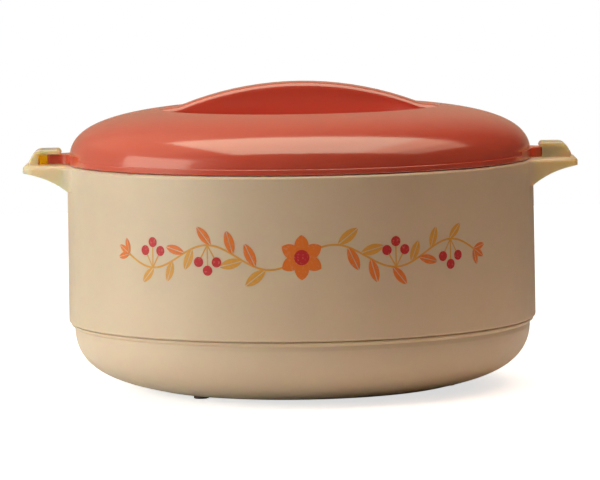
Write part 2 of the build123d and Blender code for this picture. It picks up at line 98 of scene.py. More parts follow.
def angle_property(name, degrees, description):
    """An angle that a user can change, stated in degrees and held in radians."""
    return bpy.props.FloatProperty(
        name=name, description=description, subtype="ANGLE", default=radians(degrees)
    )


# ---------------------------------------------------------------- what a user can change
class CasseroleColours(bpy.types.PropertyGroup):
    """Colours of the plastics, the steel, the rubber, the foam and the inks."""

    cream: colour_property("Cream", "E0CAAA", "Polypropylene of the body")
    orange: colour_property("Orange", "D75A44", "Polypropylene of the lid")
    ivory: colour_property("Ivory", "E9E2D2", "Polypropylene of the lid's liner")
    steel: colour_property("Steel", "C4C3C0", "Stainless steel of the bowl")
    seal: colour_property("Seal", "D8D4CB", "Silicone of the two seals")
    foot: colour_property("Foot", "5B4A3D", "Rubber of the feet")
    foam: colour_property("Foam", "E6D6A4", "Polyurethane foam in the walls")
    stain: colour_property("Stain", "7A5A3A", "Small kitchen stains on the body")
    amber_ink: colour_property("Amber ink", "E0A040", "Stem, stalks and upper leaves of the print")
    orange_ink: colour_property("Orange ink", "E8792B", "Petals, lower and end leaves of the print")
    red_ink: colour_property("Red ink", "C62A2E", "Berries and flower centre of the print")


class CasseroleFinish(bpy.types.PropertyGroup):
    """Gloss and texture of the finishes."""

    body_roughness: share_property("Body roughness", 0.34, "Soft gloss of the cream and ivory mouldings")
    lid_roughness: share_property("Lid roughness", 0.15, "Brighter gloss from the lid's polished mould")
    cloud_size: length_property("Clouding", 38.0, "Distance over which the melt's colour drifts")
    peel_size: length_property("Orange peel", 1.6, "Width of one swell of the moulded surface")
    peel_depth: length_property("Peel depth", 0.005, "Height of the swells")
    rub_size: length_property("Rub marks", 7.0, "Spacing of the dull marks that wiping leaves")
    speck_spacing: length_property("Specks", 21.0, "Distance between small stains")
    brush_line: length_property("Brush lines", 0.5, "Spacing of the steel's lines, drawn coarse to show")
    foam_cell: length_property("Foam cells", 0.9, "Size of a foam cell")


class SprigSizes(bpy.types.PropertyGroup):
    """Sizes of the printed sprig, measured flat on the wall."""

    height: length_property("Height", 79.5, "Middle of the print above the table")
    reach: length_property("Reach", 99.0, "Middle of the print to the end of each branch")
    wave_height: length_property("Wave height", 6.2, "How far the stem swings up and down")
    wave_length: length_property("Wave length", 66.0, "Length of one swing up and down")
    stem_width: length_property("Stem width", 1.0, "Printed width of the stem")
    stalk_width: length_property("Stalk width", 0.7, "Printed width of the berry stalks")
    leaf_length: length_property("Leaf length", 14.5, "Longest leaf")
    leaf_width: length_property("Leaf width", 5.8, "Widest leaf")
    vein: length_property("Vein", 0.6, "Bare line down a leaf")
    petal_length: length_property("Petal length", 11.5, "Petal of the middle flower")
    petal_width: length_property("Petal width", 7.4, "Widest part of a petal")
    berry: length_property("Berry", 5.2, "Diameter of a berry")
    ink_thickness: length_property("Ink thickness", 0.1, "Ink on the wall, drawn thick to be a solid")


class StudioSetup(bpy.types.PropertyGroup):
    """Lamps, surroundings and camera."""

    key_softbox: power_property("Key softbox", 18.6, "Lights matt surfaces from the left")
    left_softbox: power_property("Left softbox", 3.6, "Lights from the left and shines on the wall")
    top_softbox: power_property("Top softbox", 20.6, "Lights matt surfaces from above")
    over_panel: power_property("Over panel", 17.4, "Broad shine across the lid")
    near_panel: power_property("Near panel", 4.8, "Narrow shine on the lid's right half")
    far_panel: power_property("Far panel", 3.8, "Shine low on the lid's right side")
    left_back_panel: power_property("Left back panel", 1.2, "Faint shine on the lid's left shoulder")
    back_softbox: power_property("Back softbox", 10.0, "Lights matt surfaces from behind")
    room_level: share_property("Room", 0.01, "Light of the room on matt surfaces")
    front_level: share_property("Front", 0.05, "Brightness in gloss of the room's front and right")
    back_level: share_property("Back", 0.44, "Brightness in gloss of the room's back and left")
    camera_distance: length_property("Distance", 2200.0, "Camera to the middle of the view")
    camera_height: angle_property("Height", 4.97, "Angle of the view above the horizon")
    camera_roll: angle_property("Roll", -0.90, "Tilt of the camera about its view")
    camera_lens: bpy.props.FloatProperty(
        name="Lens", description="Focal length", subtype="DISTANCE_CAMERA", unit="CAMERA", default=245.3
    )


SETTINGS = {
    "casserole_colours": CasseroleColours,
    "casserole_finish": CasseroleFinish,
    "casserole_sprig": SprigSizes,
    "casserole_studio": StudioSetup,
}


# ---------------------------------------------------------------- small helpers
def looks(context):
    """The colours and the finish that are set in the scene."""
    return context.scene.casserole_colours, context.scene.casserole_finish


def add_node(tree, kind, inputs=None, **settings):
    """Adds a node, sets its options and sets or links its inputs, named by their identifiers."""
    node = tree.nodes.new(kind)
    for name, value in settings.items():
        setattr(node, name, value)
    for name, value in (inputs or {}).items():
        socket = next(s for s in node.inputs if s.identifier == name)
        if isinstance(value, bpy.types.NodeSocket):
            tree.links.new(value, socket)
        else:
            socket.default_value = value
    return node


def new_material(name, colour, values):
    """Makes a material with one shader whose own sockets hold what is the same all over."""
    material = bpy.data.materials.new(name)
    material.use_nodes = True
    tree = material.node_tree
    tree.nodes.clear()
    shader = add_node(tree, "ShaderNodeBsdfPrincipled", {"Base Color": (*colour, 1), **values})
    add_node(tree, "ShaderNodeOutputMaterial", {"Surface": shader.outputs["BSDF"]})
    return material, tree, shader


def radius_and_height(tree):
    """A point's distance from the casserole's upright axis, and its height, as two sockets."""
    place = add_node(tree, "ShaderNodeTexCoord").outputs["Object"]
    parts = add_node(tree, "ShaderNodeSeparateXYZ", {"Vector": place})
    flat = add_node(tree, "ShaderNodeCombineXYZ", {"X": parts.outputs["X"], "Y": parts.outputs["Y"]})
    radius = add_node(tree, "ShaderNodeVectorMath", {"Vector": flat.outputs[0]}, operation="LENGTH")
    return radius.outputs["Value"], parts.outputs["Z"]


def shades(colour, darker, lighter):
    """The two ends of a colour mix: a darker and a lighter shade, as shares of one colour."""
    ends = [(*[min(1.0, channel * share) for channel in colour], 1) for share in (darker, lighter)]
    return {"A_Color": ends[0], "B_Color": ends[1]}


def finish_nodes(material, *names):
    """Gives CAD nodes a material, one for all their faces."""
    for name in names:
        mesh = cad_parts[name].data
        mesh.materials.clear()
        mesh.materials.append(material)


def select_only(*objects):
    """Selects these objects and nothing else, and makes the last one active."""
    bpy.ops.object.select_all(action="DESELECT")
    for item in objects:
        item.select_set(True)
    bpy.context.view_layer.objects.active = objects[-1]


def apply_modifier(piece, kind, **settings):
    """Adds a modifier to a piece, sets it and applies it."""
    select_only(piece)
    modifier = piece.modifiers.new(kind.title(), kind)
    for name, value in settings.items():
        setattr(modifier, name, value)
    bpy.ops.object.modifier_apply(modifier=modifier.name)


# ---------------------------------------------------------------- materials
MIXED_COLOUR = 2            # a Mix node's output for colours

# Darkest and lightest places of a finish, as shares of its plain colour.
CLOUD_SHADES = (0.93, 1.07)
DUST_SHADES = (0.86, 1.12)
CELL_SHADES = (0.72, 1.1)

PLASTIC_IOR = 1.49
POLISHED_IOR = 1.72                         # the lid's polished skin mirrors more than plain plastic
PLASTIC_MIRROR = 0.8
LIGHT_DEPTHS = (1.0, 0.5, 0.15)             # red light goes deepest into the plastics, blue least
CLEAN_NOISE, RUBBED_NOISE = 0.35, 0.7       # noise where a moulding is clean and where it is rubbed
CLEAN_SHARE, RUBBED_SHARE = 0.88, 1.22      # roughness there, against the plain one

BRIGHTEST_LINE, DULLEST_LINE = 0.16, 0.36   # roughness across the spun steel's lines
BRUSH_DEPTH = 0.004 * MM
RUBBER_GRAIN = 0.4 * MM
RUBBER_GRAIN_DEPTH = 0.01 * MM
CELL_DEPTH = 0.25 * MM

INK_GRAIN = 1.1 * MM                        # spacing of the thin places in the ink
FULL_NOISE, THIN_NOISE = 0.56, 0.78         # noise where the ink is full and where it is thinnest
INK_GAPS = 0.35                             # how much of the plastic shows through at the thinnest

# A stain is full up to the first share of the stains' spacing and gone at the second.
STAIN_CORE, STAIN_EDGE = 0.012, 0.03
STAIN_STRENGTH = 0.35

# Light goes a short way into the foamed wall. The ears and hooks are single walls with nothing behind
# them, so it goes far into them and they glow. The change is made over a few millimetres of the ear.
WALL_GLOW = {"Subsurface Weight": 0.5, "Subsurface Scale": 3 * MM}
EAR_GLOW = {"Subsurface Weight": 1.0, "Subsurface Scale": 22 * MM}
EAR_ROOT = 3 * MM


def moulded_polypropylene(name, colour, roughness, finish, ior=PLASTIC_IOR):
    """Injection-moulded polypropylene. The eye gets a soft gloss that swells faintly like orange peel,
    a colour that clouds where the melt met, and dull patches from wiping."""
    material, tree, shader = new_material(
        name, colour,
        {"Roughness": roughness, "IOR": ior, "Specular IOR Level": PLASTIC_MIRROR,
         "Subsurface Radius": LIGHT_DEPTHS, **WALL_GLOW},
    )
    place = add_node(tree, "ShaderNodeTexCoord").outputs["Object"]
    cloud = add_node(
        tree, "ShaderNodeTexNoise", {"Vector": place, "Scale": 1 / finish.cloud_size, "Detail": 3.0}
    )
    tone = add_node(
        tree, "ShaderNodeMix", {"Factor_Float": cloud.outputs[0], **shades(colour, *CLOUD_SHADES)},
        data_type="RGBA",
    ).outputs[MIXED_COLOUR]
    tree.links.new(tone, shader.inputs["Base Color"])
    rubs = add_node(
        tree, "ShaderNodeTexNoise", {"Vector": place, "Scale": 1 / finish.rub_size, "Detail": 6.0}
    )
    dull = add_node(
        tree, "ShaderNodeMapRange",
        {"Value": rubs.outputs[0], "From Min": CLEAN_NOISE, "From Max": RUBBED_NOISE,
         "To Min": roughness * CLEAN_SHARE, "To Max": roughness * RUBBED_SHARE},
    )
    tree.links.new(dull.outputs[0], shader.inputs["Roughness"])
    peel = add_node(
        tree, "ShaderNodeTexNoise", {"Vector": place, "Scale": 1 / finish.peel_size, "Detail": 1.0}
    )
    bump = add_node(
        tree, "ShaderNodeBump",
        {"Height": peel.outputs[0], "Distance": finish.peel_depth, "Strength": 1.0},
    )
    tree.links.new(bump.outputs[0], shader.inputs["Normal"])
    return material, tree, shader, tone


def cream_polypropylene(colours, finish):
    """The body's cream mouldings, with a few small stains from the kitchen and ears that glow."""
    material, tree, shader, tone = moulded_polypropylene(
        "moulded_polypropylene_cream", colours.cream, finish.body_roughness, finish
    )
    place = add_node(tree, "ShaderNodeTexCoord").outputs["Object"]
    spots = add_node(
        tree, "ShaderNodeTexVoronoi",
        {"Vector": place, "Scale": 1 / finish.speck_spacing, "Randomness": 1.0},
    )
    near = add_node(
        tree, "ShaderNodeMapRange",
        {"Value": spots.outputs["Distance"], "From Min": STAIN_CORE, "From Max": STAIN_EDGE,
         "To Min": STAIN_STRENGTH, "To Max": 0.0},
    )
    stained = add_node(
        tree, "ShaderNodeMix",
        {"Factor_Float": near.outputs[0], "A_Color": tone, "B_Color": (*colours.stain, 1)},
        data_type="RGBA",
    )
    tree.links.new(stained.outputs[MIXED_COLOUR], shader.inputs["Base Color"])
    radius = radius_and_height(tree)[0]
    for socket, in_wall in WALL_GLOW.items():
        glow = add_node(
            tree, "ShaderNodeMapRange",
            {"Value": radius, "From Min": WALL_FOOT_RADIUS, "From Max": WALL_FOOT_RADIUS + EAR_ROOT,
             "To Min": in_wall, "To Max": EAR_GLOW[socket]},
        )
        tree.links.new(glow.outputs[0], shader.inputs[socket])
    return material


def orange_polypropylene(colours, finish):
    """The lid's orange moulding. Its mould is polished, so lights show in it with fairly sharp edges."""
    return moulded_polypropylene(
        "moulded_polypropylene_orange", colours.orange, finish.lid_roughness, finish, POLISHED_IOR
    )[0]


def ivory_polypropylene(colours, finish):
    """The liner's ivory moulding, with the body's soft gloss."""
    return moulded_polypropylene(
        "moulded_polypropylene_ivory", colours.ivory, finish.body_roughness, finish
    )[0]


def spun_steel(colours, finish):
    """Stainless steel, pressed and then polished on a lathe. Fine lines run round the bowl, so lights
    smear across them. Real ones are too fine to show, so these are drawn coarser."""
    material, tree, shader = new_material(
        "spun_stainless_steel", colours.steel, {"Metallic": 1.0, "Roughness": 0.24}
    )
    radius, height = radius_and_height(tree)
    turns = add_node(tree, "ShaderNodeCombineXYZ", {"X": radius, "Y": height})
    lines = add_node(
        tree, "ShaderNodeTexNoise",
        {"Vector": turns.outputs[0], "Scale": 1 / finish.brush_line, "Detail": 4.0},
    )
    gloss = add_node(
        tree, "ShaderNodeMapRange",
        {"Value": lines.outputs[0], "To Min": BRIGHTEST_LINE, "To Max": DULLEST_LINE},
    )
    tree.links.new(gloss.outputs[0], shader.inputs["Roughness"])
    bump = add_node(
        tree, "ShaderNodeBump", {"Height": lines.outputs[0], "Distance": BRUSH_DEPTH, "Strength": 1.0}
    )
    tree.links.new(bump.outputs[0], shader.inputs["Normal"])
    return material


def moulded_rubber(name, colour, finish):
    """Moulded rubber or silicone: matt, slightly uneven, with a film of dust in places."""
    material, tree, shader = new_material(name, colour, {"Roughness": 0.55, "IOR": 1.45})
    place = add_node(tree, "ShaderNodeTexCoord").outputs["Object"]
    dust = add_node(
        tree, "ShaderNodeTexNoise", {"Vector": place, "Scale": 1 / finish.rub_size, "Detail": 5.0}
    )
    tone = add_node(
        tree, "ShaderNodeMix", {"Factor_Float": dust.outputs[0], **shades(colour, *DUST_SHADES)},
        data_type="RGBA",
    )
    tree.links.new(tone.outputs[MIXED_COLOUR], shader.inputs["Base Color"])
    grain = add_node(
        tree, "ShaderNodeTexNoise", {"Vector": place, "Scale": 1 / RUBBER_GRAIN, "Detail": 2.0}
    )
    bump = add_node(
        tree, "ShaderNodeBump",
        {"Height": grain.outputs[0], "Distance": RUBBER_GRAIN_DEPTH, "Strength": 1.0},
    )
    tree.links.new(bump.outputs[0], shader.inputs["Normal"])
    return material


def rigid_foam(colours, finish):
    """Polyurethane foam, poured and set in the wall: matt, straw-coloured and full of small cells."""
    material, tree, shader = new_material("poured_polyurethane_foam", colours.foam, {"Roughness": 0.9})
    place = add_node(tree, "ShaderNodeTexCoord").outputs["Object"]
    cells = add_node(
        tree, "ShaderNodeTexVoronoi", {"Vector": place, "Scale": 1 / finish.foam_cell, "Randomness": 1.0}
    ).outputs["Distance"]
    tone = add_node(
        tree, "ShaderNodeMix", {"Factor_Float": cells, **shades(colours.foam, *CELL_SHADES)},
        data_type="RGBA",
    )
    tree.links.new(tone.outputs[MIXED_COLOUR], shader.inputs["Base Color"])
    bump = add_node(tree, "ShaderNodeBump", {"Height": cells, "Distance": CELL_DEPTH, "Strength": 1.0})
    tree.links.new(bump.outputs[0], shader.inputs["Normal"])
    return material


def screen_print_ink(name, colour, cream):
    """Screen-printed ink: flat and satin, thin enough in places that the plastic shows through."""
    material, tree, shader = new_material(name, colour, {"Roughness": 0.38, "IOR": 1.5})
    place = add_node(tree, "ShaderNodeTexCoord").outputs["Object"]
    cover = add_node(
        tree, "ShaderNodeTexNoise", {"Vector": place, "Scale": 1 / INK_GRAIN, "Detail": 4.0}
    )
    thin = add_node(
        tree, "ShaderNodeMapRange",
        {"Value": cover.outputs[0], "From Min": FULL_NOISE, "From Max": THIN_NOISE, "To Min": 0.0,
         "To Max": INK_GAPS},
    )
    tone = add_node(
        tree, "ShaderNodeMix",
        {"Factor_Float": thin.outputs[0], "A_Color": (*colour, 1), "B_Color": (*cream, 1)},
        data_type="RGBA",
    )
    tree.links.new(tone.outputs[MIXED_COLOUR], shader.inputs["Base Color"])
    return material


# ---------------------------------------------------------------- printed sprig, modelled flat
ARC_STEPS = 96              # corners round the circle that a leaf or petal is cut from
BERRY_STEPS = 28
STEM_KNOTS = 49
STRIP_STEP = 0.8 * MM       # crosswise cuts in a stem or stalk
SLICE = 2.5 * MM            # upright cuts, so that flat shapes can bend round the wall
WALL_STEPS = 720
MERGED_WITHIN = 0.01 * MM   # a leaf's halves join where they are nearer than this
SMOOTHED_TO = radians(30)   # sharper edges of the ink stay sharp

# Where things grow on a branch, as shares of one swing of the stem. Berries hang inside the bends and
# leaves stand where the berries leave them room.
UPPER_LEAVES = (0.28, 0.46, 0.88, 1.06, 1.24)
LOWER_LEAVES = (0.36, 0.54, 0.72, 0.95)
BERRY_CRESTS = (0.75, 1.25)
LEAF_LEAN = radians(44)     # leaf from the stem
LEAF_TAPER = 0.2            # how much smaller a leaf is one swing further out
TIP_FAN = (-1, 0, 1)        # three leaves at the stem's end: lean of each against an ordinary leaf's
TIP_LEAF_SHARE = 0.6        # size of those against an ordinary leaf
BERRY_STALKS = ((-30, 10 * MM), (0, 13 * MM), (30, 10 * MM))    # degrees off upright, and length
PETAL_COUNT = 6
FIRST_PETAL = radians(30)
HEART_SHARE = 1.5           # the flower's centre against a berry

# How far each ink stands off the wall. They differ, so that no two inks lie in one face.
AMBER_LIFT, ORANGE_LIFT, RED_LIFT = 0.04 * MM, 0.07 * MM, 0.10 * MM


def blade(length, width, vein):
    """A flat leaf or petal along +X from the origin: one arc is cut from a circle and mirrored."""
    bow = width / 2
    arc_radius = (length**2 / 4 + bow**2) / (2 * bow)
    bpy.ops.mesh.primitive_circle_add(
        vertices=ARC_STEPS, radius=arc_radius, fill_type="NGON",
        location=(length / 2, bow - arc_radius, 0),
    )
    piece = bpy.context.object
    bpy.ops.object.transform_apply(location=True)
    bpy.ops.object.mode_set(mode="EDIT")
    bpy.ops.mesh.select_all(action="SELECT")
    bpy.ops.mesh.bisect(plane_co=(0, vein / 2, 0), plane_no=(0, 1, 0), clear_inner=True)
    bpy.ops.object.mode_set(mode="OBJECT")
    apply_modifier(piece, "MIRROR", use_axis=(False, True, False), merge_threshold=MERGED_WITHIN)
    return piece


def disc(diameter):
    """A flat disc at the origin."""
    bpy.ops.mesh.primitive_circle_add(vertices=BERRY_STEPS, radius=diameter / 2, fill_type="NGON")
    return bpy.context.object


def ribbon(points, width):
    """A flat strip of one width along a smooth line through the points."""
    bpy.ops.curve.primitive_bezier_curve_add()
    path = bpy.context.object
    path.data.dimensions = "2D"
    path.data.fill_mode = "NONE"
    path.data.use_stretch = True
    path.data.use_deform_bounds = True
    knots = path.data.splines[0].bezier_points
    knots.add(len(points) - len(knots))
    for knot, (across, up) in zip(knots, points):
        knot.co = (across, up, 0)
        knot.handle_left_type = knot.handle_right_type = "AUTO"
    run = sum(hypot(b[0] - a[0], b[1] - a[1]) for a, b in zip(points, points[1:]))
    bpy.ops.object.select_all(action="DESELECT")
    bpy.ops.mesh.primitive_grid_add(x_subdivisions=ceil(run / STRIP_STEP), y_subdivisions=1, size=run)
    strip = bpy.context.object
    bpy.ops.object.mode_set(mode="EDIT")
    bpy.ops.mesh.select_all(action="SELECT")
    bpy.ops.transform.resize(value=(1, width / run, 1))
    bpy.ops.object.mode_set(mode="OBJECT")
    apply_modifier(strip, "CURVE", object=path, deform_axis="POS_X")
    bpy.data.objects.remove(path)
    return strip


def placed_copy(motif, across, up, turn, size):
    """A copy of a flat motif, with its own mesh, at a place on the print."""
    copy = motif.copy()
    copy.data = motif.data.copy()
    bpy.context.collection.objects.link(copy)
    copy.location = (across, up, 0)
    copy.rotation_euler = (0, 0, turn)
    copy.scale = (size, size, size)
    return copy


def sprayed(motif, places):
    """Copies of a motif at the places on the right-hand branch, and half a turn round on the left."""
    copies = []
    for across, up, turn, size in places:
        copies.append(placed_copy(motif, across, up, turn, size))
        copies.append(placed_copy(motif, -across, -up, turn + pi, size))
    bpy.data.objects.remove(motif)
    return copies


def joined(name, pieces):
    """Joins flat motifs into one, at the origin."""
    select_only(*pieces)
    bpy.ops.object.transform_apply(location=True, rotation=True, scale=True)
    bpy.ops.object.join()
    whole = bpy.context.object
    whole.name = whole.data.name = name
    bpy.context.scene.cursor.location = (0, 0, 0)
    bpy.ops.object.origin_set(type="ORIGIN_CURSOR")
    return whole


def stem_height(sizes, across):
    """How far the stem is above the print's middle, at a place across it."""
    return sizes.wave_height * sin(tau * across / sizes.wave_length)


def leaf_place(sizes, across, lean, size):
    """A leaf's place on the stem, its turn when it leans from the stem, and its size."""
    rise = tau * sizes.wave_height / sizes.wave_length * cos(tau * across / sizes.wave_length)
    return across, stem_height(sizes, across), atan(rise) + lean, size


def leaf_places(sizes, shares, lean):
    """The leaves along one side of a branch, smaller towards its end."""
    return [
        leaf_place(sizes, share * sizes.wave_length, lean, 1.0 - LEAF_TAPER * share) for share in shares
    ]


def berry_stalks(sizes):
    """Both ends of each berry's stalk. The stalks fan out from the stem into the bends."""
    stalks = []
    for crest in BERRY_CRESTS:
        across = crest * sizes.wave_length
        root = (across, stem_height(sizes, across))
        side = -1 if root[1] > 0 else 1
        for fan, run in BERRY_STALKS:
            turn = side * pi / 2 + radians(fan)
            stalks.append((root, (root[0] + run * cos(turn), root[1] + run * sin(turn))))
    return stalks


def wall_of_revolution():
    """The plain drafted wall that the print lies on, without its ears, to press the print on."""
    bpy.ops.mesh.primitive_cone_add(
        vertices=WALL_STEPS, radius1=WALL_FOOT_RADIUS, radius2=WALL_RIM_RADIUS,
        depth=RIM_HEIGHT - SHELL_LOW.z, location=(0, 0, (SHELL_LOW.z + RIM_HEIGHT) / 2),
    )
    return bpy.context.object


def printed(piece, wall, height, lift, thickness):
    """Stands a flat print up, cuts it upright, bends it round the wall and presses it on as a solid."""
    select_only(piece)
    piece.rotation_euler = (pi / 2, 0, 0)
    piece.location = (0, 0, height)
    bpy.ops.object.transform_apply(location=True, rotation=True)
    half = max(abs(corner.co.x) for corner in piece.data.vertices)
    bpy.ops.object.mode_set(mode="EDIT")
    steps = ceil(half / SLICE)
    for step in range(-steps, steps + 1):
        bpy.ops.mesh.select_all(action="SELECT")
        bpy.ops.mesh.bisect(plane_co=(step * SLICE, 0, 0), plane_no=(1, 0, 0))
    bpy.ops.object.mode_set(mode="OBJECT")
    bend = piece.dimensions.x / WALL_FOOT_RADIUS
    apply_modifier(piece, "SIMPLE_DEFORM", deform_method="BEND", deform_axis="Z", angle=bend)
    piece.location = (0, -WALL_FOOT_RADIUS, 0)
    bpy.ops.object.transform_apply(location=True)
    apply_modifier(
        piece, "SHRINKWRAP", target=wall, wrap_method="NEAREST_SURFACEPOINT", wrap_mode="ABOVE_SURFACE",
        offset=lift,
    )
    apply_modifier(piece, "SOLIDIFY", thickness=thickness, offset=-1.0)
    bpy.ops.object.shade_smooth_by_angle(angle=SMOOTHED_TO)
    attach(piece, "body")


# ---------------------------------------------------------------- studio
BODY_MIDDLE = (0, 0, 90 * MM)

# Softboxes: name, place, point faced, width, height, colour, and whether matt surfaces and gloss show
# them. Their powers are in the studio's settings, under the same names. The panels are seen in gloss
# alone, where they draw the shines on the lid. The three over it hang a little under the top softbox,
# because lamps in one plane hide each other.
SOFTBOXES = (
    ("key_softbox", (-1.38, -0.34, 0.42), BODY_MIDDLE, 1.5, 1.05, "E6F4FF", True, False),
    ("left_softbox", (-1.4, -0.38, 0.4), BODY_MIDDLE, 1.1, 0.7, "FFF2DE", True, True),
    ("top_softbox", (0.3, -0.22, 1.5), (0.3, -0.22, 0), 1.5, 1.55, "FFE5D7", True, False),
    ("over_panel", (-0.05, -0.24, 1.48), (-0.05, -0.24, 0), 1.6, 1.6, "EEFCDE", False, True),
    ("near_panel", (1.02, -0.24, 1.48), (1.02, -0.24, 0), 0.55, 1.6, "FFE2C2", False, True),
    ("far_panel", (1.65, -0.24, 1.48), (1.65, -0.24, 0), 0.7, 1.6, "FFE2C2", False, True),
    ("left_back_panel", (-1.05, 0.45, 1.15), BODY_MIDDLE, 1.8, 1.1, "FFDCB0", False, True),
    ("back_softbox", (0.0, 1.5, 0.5), BODY_MIDDLE, 1.2, 0.8, "FFFFFF", True, False),
)

TABLE_RADIUS = 1.2
TABLE_STEPS = 128
TABLE_NEAR, TABLE_FAR = 0.22, 0.5           # the table top changes between these distances
NEAR_PAINT, FAR_PAINT = "F2EFEA", "6E6A66"
NEAR_GLOW = 0.68                            # at the far distance the glow is 1, which is white
ROOM_TINT = "FFE0BC"
ROOM_LEFT = -1.4                            # how much the left counts against the back
ROOM_BRIGHT_FROM = 0.8                      # of left and back together, where the room is brightest

CAMERA_TARGET = Vector((-0.72, 0, 77.6)) * MM
CAMERA_SENSOR = 36.0                        # width in millimetres


def softbox(name, power, place, aim, width, height, colour, on_matt, in_gloss):
    """A rectangular softbox that faces a point and that the camera doesn't see."""
    bpy.ops.object.light_add(type="AREA", location=place)
    lamp = bpy.context.object
    lamp.name = name
    lamp.rotation_euler = (Vector(aim) - Vector(place)).to_track_quat("-Z", "Y").to_euler()
    lamp.data.shape = "RECTANGLE"
    lamp.data.size = width
    lamp.data.size_y = height
    lamp.data.energy = power
    lamp.data.color = linear(colour)
    lamp.visible_camera = False
    lamp.visible_diffuse = on_matt
    lamp.visible_glossy = in_gloss


def pale_floor():
    """A pale laminate table top, matt and smooth. Near the casserole it is light and shows the shadow.
    Further out its paint is darker, so that it throws little light up the wall, and a glow that only the
    camera sees takes it over into the white room. From below it is clear."""
    bpy.ops.mesh.primitive_circle_add(vertices=TABLE_STEPS, radius=TABLE_RADIUS, fill_type="NGON")
    floor = bpy.context.object
    floor.name = "table_top"
    material, tree, shader = new_material("white_laminate", linear(NEAR_PAINT), {"Roughness": 0.8})
    output = next(node for node in tree.nodes if node.type == "OUTPUT_MATERIAL")
    place = add_node(tree, "ShaderNodeTexCoord").outputs["Object"]
    away = add_node(tree, "ShaderNodeVectorMath", {"Vector": place}, operation="LENGTH")
    spread = {"Value": away.outputs["Value"], "From Min": TABLE_NEAR, "From Max": TABLE_FAR}
    far = add_node(tree, "ShaderNodeMapRange", spread)
    paint = add_node(
        tree, "ShaderNodeMix",
        {"Factor_Float": far.outputs[0], "A_Color": (*linear(NEAR_PAINT), 1),
         "B_Color": (*linear(FAR_PAINT), 1)},
        data_type="RGBA",
    )
    tree.links.new(paint.outputs[MIXED_COLOUR], shader.inputs["Base Color"])
    level = add_node(tree, "ShaderNodeMapRange", {**spread, "To Min": NEAR_GLOW, "To Max": 1.0})
    rays = add_node(tree, "ShaderNodeLightPath")
    seen = add_node(
        tree, "ShaderNodeMath",
        {"Value": level.outputs[0], "Value_001": rays.outputs["Is Camera Ray"]}, operation="MULTIPLY",
    )
    glow = add_node(tree, "ShaderNodeEmission", {"Color": (1, 1, 1, 1), "Strength": seen.outputs[0]})
    both = add_node(
        tree, "ShaderNodeAddShader", {"Shader": shader.outputs[0], "Shader_001": glow.outputs[0]}
    )
    clear = add_node(tree, "ShaderNodeBsdfTransparent")
    under = add_node(tree, "ShaderNodeNewGeometry")
    sided = add_node(
        tree, "ShaderNodeMixShader",
        {"Fac": under.outputs["Backfacing"], "Shader": both.outputs[0], "Shader_001": clear.outputs[0]},
    )
    tree.links.new(sided.outputs[0], output.inputs["Surface"])
    floor.data.materials.append(material)


def white_room(studio):
    """Surroundings. The eye sees plain white, also through what is clear. In gloss the room is warm,
    bright to the left and behind, and dark in front and to the right. On matt surfaces it is dim."""
    world = bpy.data.worlds.new("white_room")
    bpy.context.scene.world = world
    world.use_nodes = True
    tree = world.node_tree
    tree.nodes.clear()
    rays = add_node(tree, "ShaderNodeLightPath")
    direction = add_node(tree, "ShaderNodeTexCoord").outputs["Generated"]
    parts = add_node(tree, "ShaderNodeSeparateXYZ", {"Vector": direction})
    side = add_node(
        tree, "ShaderNodeMath",
        {"Value": parts.outputs["X"], "Value_001": ROOM_LEFT, "Value_002": parts.outputs["Y"]},
        operation="MULTIPLY_ADD",
    )
    gloss = add_node(
        tree, "ShaderNodeMapRange",
        {"Value": side.outputs[0], "From Min": 0.0, "From Max": ROOM_BRIGHT_FROM,
         "To Min": studio.front_level, "To Max": studio.back_level},
    )
    room = add_node(
        tree, "ShaderNodeMix",
        {"Factor_Float": rays.outputs["Is Glossy Ray"], "A_Float": studio.room_level,
         "B_Float": gloss.outputs[0]},
    )
    direct = add_node(
        tree, "ShaderNodeMath",
        {"Value": rays.outputs["Is Camera Ray"], "Value_001": rays.outputs["Is Transmission Ray"]},
        operation="MAXIMUM",
    )
    level = add_node(
        tree, "ShaderNodeMix",
        {"Factor_Float": direct.outputs[0], "A_Float": room.outputs[0], "B_Float": 1.0},
    )
    tint = add_node(
        tree, "ShaderNodeMix",
        {"Factor_Float": direct.outputs[0], "A_Color": (*linear(ROOM_TINT), 1), "B_Color": (1, 1, 1, 1)},
        data_type="RGBA",
    )
    back = add_node(
        tree, "ShaderNodeBackground", {"Color": tint.outputs[MIXED_COLOUR], "Strength": level.outputs[0]}
    )
    add_node(tree, "ShaderNodeOutputWorld", {"Surface": back.outputs[0]})


# ---------------------------------------------------------------- operators
class CasseroleOperator:
    """What the operators share."""

    bl_options = {"REGISTER", "UNDO"}


class CASSEROLE_OT_body(CasseroleOperator, bpy.types.Operator):
    """Finish the body's cream mouldings and its filling plug"""

    bl_idname = "casserole.body"
    bl_label = "Body"

    def execute(self, context):
        finish_nodes(cream_polypropylene(*looks(context)), "outer_shell", "base_cover", "base_fill_plug")
        return {"FINISHED"}


class CASSEROLE_OT_lid(CasseroleOperator, bpy.types.Operator):
    """Finish the lid's orange moulding and its ivory liner and plug"""

    bl_idname = "casserole.lid"
    bl_label = "Lid"

    def execute(self, context):
        finish_nodes(orange_polypropylene(*looks(context)), "lid_shell")
        finish_nodes(ivory_polypropylene(*looks(context)), "lid_liner", "lid_fill_plug")
        return {"FINISHED"}


class CASSEROLE_OT_bowl(CasseroleOperator, bpy.types.Operator):
    """Finish the steel bowl"""

    bl_idname = "casserole.bowl"
    bl_label = "Bowl"

    def execute(self, context):
        finish_nodes(spun_steel(*looks(context)), "inner_bowl")
        return {"FINISHED"}


